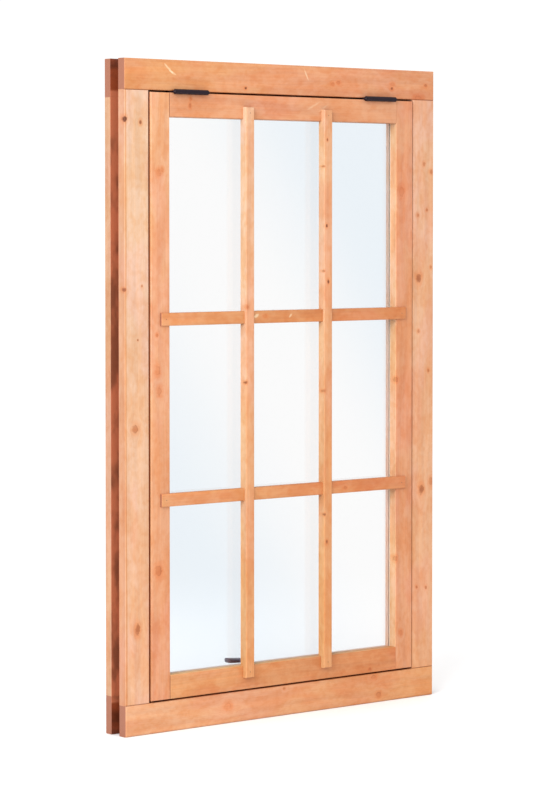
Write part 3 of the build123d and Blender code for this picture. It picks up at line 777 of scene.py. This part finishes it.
class WINDOW_OT_frame_members(bpy.types.Operator):
    """Head, sill and jambs"""

    bl_idname = "window.frame_members"
    bl_label = "Frame members"

    def execute(self, context):
        left = (
            (960, -370, 6, 3.0, 1.0), (700, -370, 5, 4.0, 0.9), (560, -370, 5, 3.0, 0.9),
            (250, -370, 6, 3.0, 1.0),
        )
        boards = (
            ("frame_head", UNTINTED, UNTINTED, "X", (), (1280, 40), (), ()),
            ("frame_sill", UNTINTED, UNTINTED, "X", (), (-60, 40), (), ()),
            ("frame_jamb_left", UNTINTED, UNTINTED, "Z", left, (-300, 40), (), ()),
            ("frame_jamb_right", UNTINTED, UNTINTED, "Z", (), (300, 40), (), ()),
        )
        lay_boards(boards)
        return {"FINISHED"}


class WINDOW_OT_sash(bpy.types.Operator):
    """Stiles, rails and their pegs"""

    bl_idname = "window.sash"
    bl_label = "Sash"

    def execute(self, context):
        left = (
            (1053, -320, 5, 1.3, 0.35), (1060, -312, 3, 1.3, 0.3), (672, -323, 5, 1.8, 0.35),
            (632, -319, 5, 1.5, 0.5), (284, -322, 7, 1.4, 0.6), (740, -325, 2.4, 1.2, 0.6),
        )
        right = (
            (1021, 308, 6, 1.6, 0.35), (633, 294, 4, 1.2, 0.7), (262, 294, 4, 1.2, 0.6),
            (107, 308, 4, 1.3, 0.4),
        )
        top = ((-244, 1184, 4.4, 0.6, 0.7), (-242, 1197, 2.6, 0.8, 0.5))
        bottom = ((223, 39, 2.6, 1.2, 0.7),)
        # Painted shade: each board's last entry lists its faces that get painted gap shade
        boards = (
            ("sash_stile_left", ROSE_TAN, PEACH, "Z", left, (-270, 10), (), (("X", -1),)),
            ("sash_stile_right", ROSE_TAN, ROSE_TAN, "Z", right, (370, 20), (), ()),
            ("sash_top_rail", ROSE_TAN, ROSE_TAN, "X", top, (1250, 30), (), (("Z", 1),)),
            ("sash_bottom_rail", HONEY, DEEP_ORANGE, "X", bottom, (0, 50), (), ()),
            ("sash_corner_pegs", UNTINTED, UNTINTED, "Z", (), (0, 50), (), ()),
        )
        lay_boards(boards)
        return {"FINISHED"}


class WINDOW_OT_glazing_bars(bpy.types.Operator):
    """Planted glazing bars"""

    bl_idname = "window.glazing_bars"
    bl_label = "Glazing bars"

    def execute(self, context):
        left = ((791, -109, 2.2, 1.4, 0.6), (642, -112, 2.4, 1.1, 0.9))
        right = (
            (1125, 98, 2.2, 1.4, 0.9), (1071, 91, 1.4, 1.2, 0.8), (951, 97, 2.8, 1.3, 1.0),
            (860, 91, 1.6, 1.2, 0.8), (839, 101, 2.8, 1.5, 1.0), (618, 91, 2.2, 1.2, 0.8),
            (368, 92, 2.2, 1.2, 0.9), (312, 97, 2.8, 1.4, 0.9),
        )
        upper = ((-60, 772, 3, 1.5, 0.3),)
        lower = ((151, 418, 3, 1.4, 0.6),)
        boards = (
            ("glazing_bar_vertical_left", HONEY, PALE_PEACH, "Z", left, (-130, 0), (), ()),
            ("glazing_bar_vertical_right", HONEY, PEACH, "Z", right, (140, 0), (), ()),
            ("glazing_bar_horizontal_upper", HONEY, DEEP_ORANGE, "X", upper, (800, 0), (), ()),
            ("glazing_bar_horizontal_lower", HONEY, DEEP_ORANGE, "X", lower, (390, 0), (), ()),
        )
        lay_boards(boards)
        return {"FINISHED"}


class WINDOW_OT_glazing(bpy.types.Operator):
    """Pane, tape, packers and beads"""

    bl_idname = "window.glazing"
    bl_label = "Glazing"

    def execute(self, context):
        glass = clear_glass()
        finish(glass, "glass_pane")
        low, high = place_of("glass_pane")[:2]
        piece("ground_pane", [pane_skin(low, high)], glass, "sash", "glass_pane")
        finish(crumbed("tape", settings().glass.tape), "glazing_tape")
        finish(crumbed("packer", settings().glass.packer), "glass_setting_blocks")
        # Painted light: the right and bottom beads get the pale tone for the light that falls on them
        boards = (
            ("glazing_bead_top", UNTINTED, UNTINTED, "X", (), (1300, 40), (), ()),
            ("glazing_bead_bottom", PAINTED_LIT_PALE_WOOD, PAINTED_LIT_PALE_WOOD, "X", (), (0, 40), (), ()),
            ("glazing_bead_left", UNTINTED, UNTINTED, "Z", (), (-250, 40), (), ()),
            ("glazing_bead_right", PAINTED_LIT_PALE_WOOD, PAINTED_LIT_PALE_WOOD, "Z", (), (350, 40), (), ()),
        )
        lay_boards(boards)
        return {"FINISHED"}


class WINDOW_OT_ironwork(bpy.types.Operator):
    """Hinges, stay and fasteners"""

    bl_idname = "window.ironwork"
    bl_label = "Ironwork"

    def execute(self, context):
        look = settings().iron
        black = enamel("black_enamel", look.hinge, 0.2)
        grey = enamel("grey_enamel", look.stay, 0.4)
        finish(black, *[name for name in NODES if name.startswith("hinge_")])
        finish(grey, *[name for name in NODES if name.startswith("stay_")])
        steel = plated_steel("plated_steel")

        for side in ("left", "right"):
            node = f"hinge_pin_{side}"
            low, high, middle = place_of(node)
            piece(f"turned_{node}", [hinge_pin_skin(low, high, middle)], black, "frame", node)
        low, high = place_of("stay_handle")[:2]
        piece("stay_grip", [grip_skin(low, high)], grey, "arm", "stay_handle")

        radius, length = look.bracket_screw, 10.0 * look.bracket_screw
        low, high = place_of("stay_bracket_screws")[:2]
        rim = 1.85 * radius
        skins = [
            screw_skin((x, high[1], z), (0.0, -1.0, 0.0), radius, length)
            for x in (low[0] + rim, high[0] - rim) for z in (low[2] + rim, high[2] - rim)
        ]
        piece("bracket_screws", skins, black, "sash", "stay_bracket_screws")
        radius, length = look.plate_screw, 80.0 / 7.0 * look.plate_screw
        low, high, middle = place_of("stay_peg_plate_screws")
        rim = 1.85 * radius
        skins = [
            screw_skin((x, middle[1], high[2]), (0.0, 0.0, -1.0), radius, length)
            for x in (low[0] + rim, middle[0], high[0] - rim)
        ]
        piece("peg_plate_screws", skins, black, "frame", "stay_peg_plate_screws")
        finish(steel, "frame_corner_screws", "front_casing_nails", "back_casing_nails", "glazing_bead_pins")
        finish(crumbed("dull_pin", look.nail), "glazing_bar_pins")
        return {"FINISHED"}


OPERATORS = (
    WINDOW_OT_stage,
    WINDOW_OT_casings,
    WINDOW_OT_frame_members,
    WINDOW_OT_sash,
    WINDOW_OT_glazing_bars,
    WINDOW_OT_glazing,
    WINDOW_OT_ironwork,
)


class WINDOW_PT_panel(bpy.types.Panel):
    """The window's settings and steps"""

    bl_label = "Top-hung window"
    bl_space_type = "VIEW_3D"
    bl_region_type = "UI"
    bl_category = "Window"

    def draw(self, context):
        for name, group in SETTINGS.items():
            box = self.layout.box()
            box.label(text=name.capitalize())
            for key in group.__annotations__:
                box.prop(getattr(settings(), name), key)
        for step in OPERATORS:
            self.layout.operator(step.bl_idname)


CLASSES = (*SETTINGS.values(), WindowSettings, *OPERATORS, WINDOW_PT_panel)


def register():
    for item in CLASSES:
        bpy.utils.register_class(item)
    bpy.types.Scene.top_hung_window = PointerProperty(type=WindowSettings)


def unregister():
    del bpy.types.Scene.top_hung_window
    for item in reversed(CLASSES):
        bpy.utils.unregister_class(item)


def main():
    register()
    for step in OPERATORS:
        group, name = step.bl_idname.split(".")
        getattr(getattr(bpy.ops, group), name)()


if __name__ == "__main__":
    main()
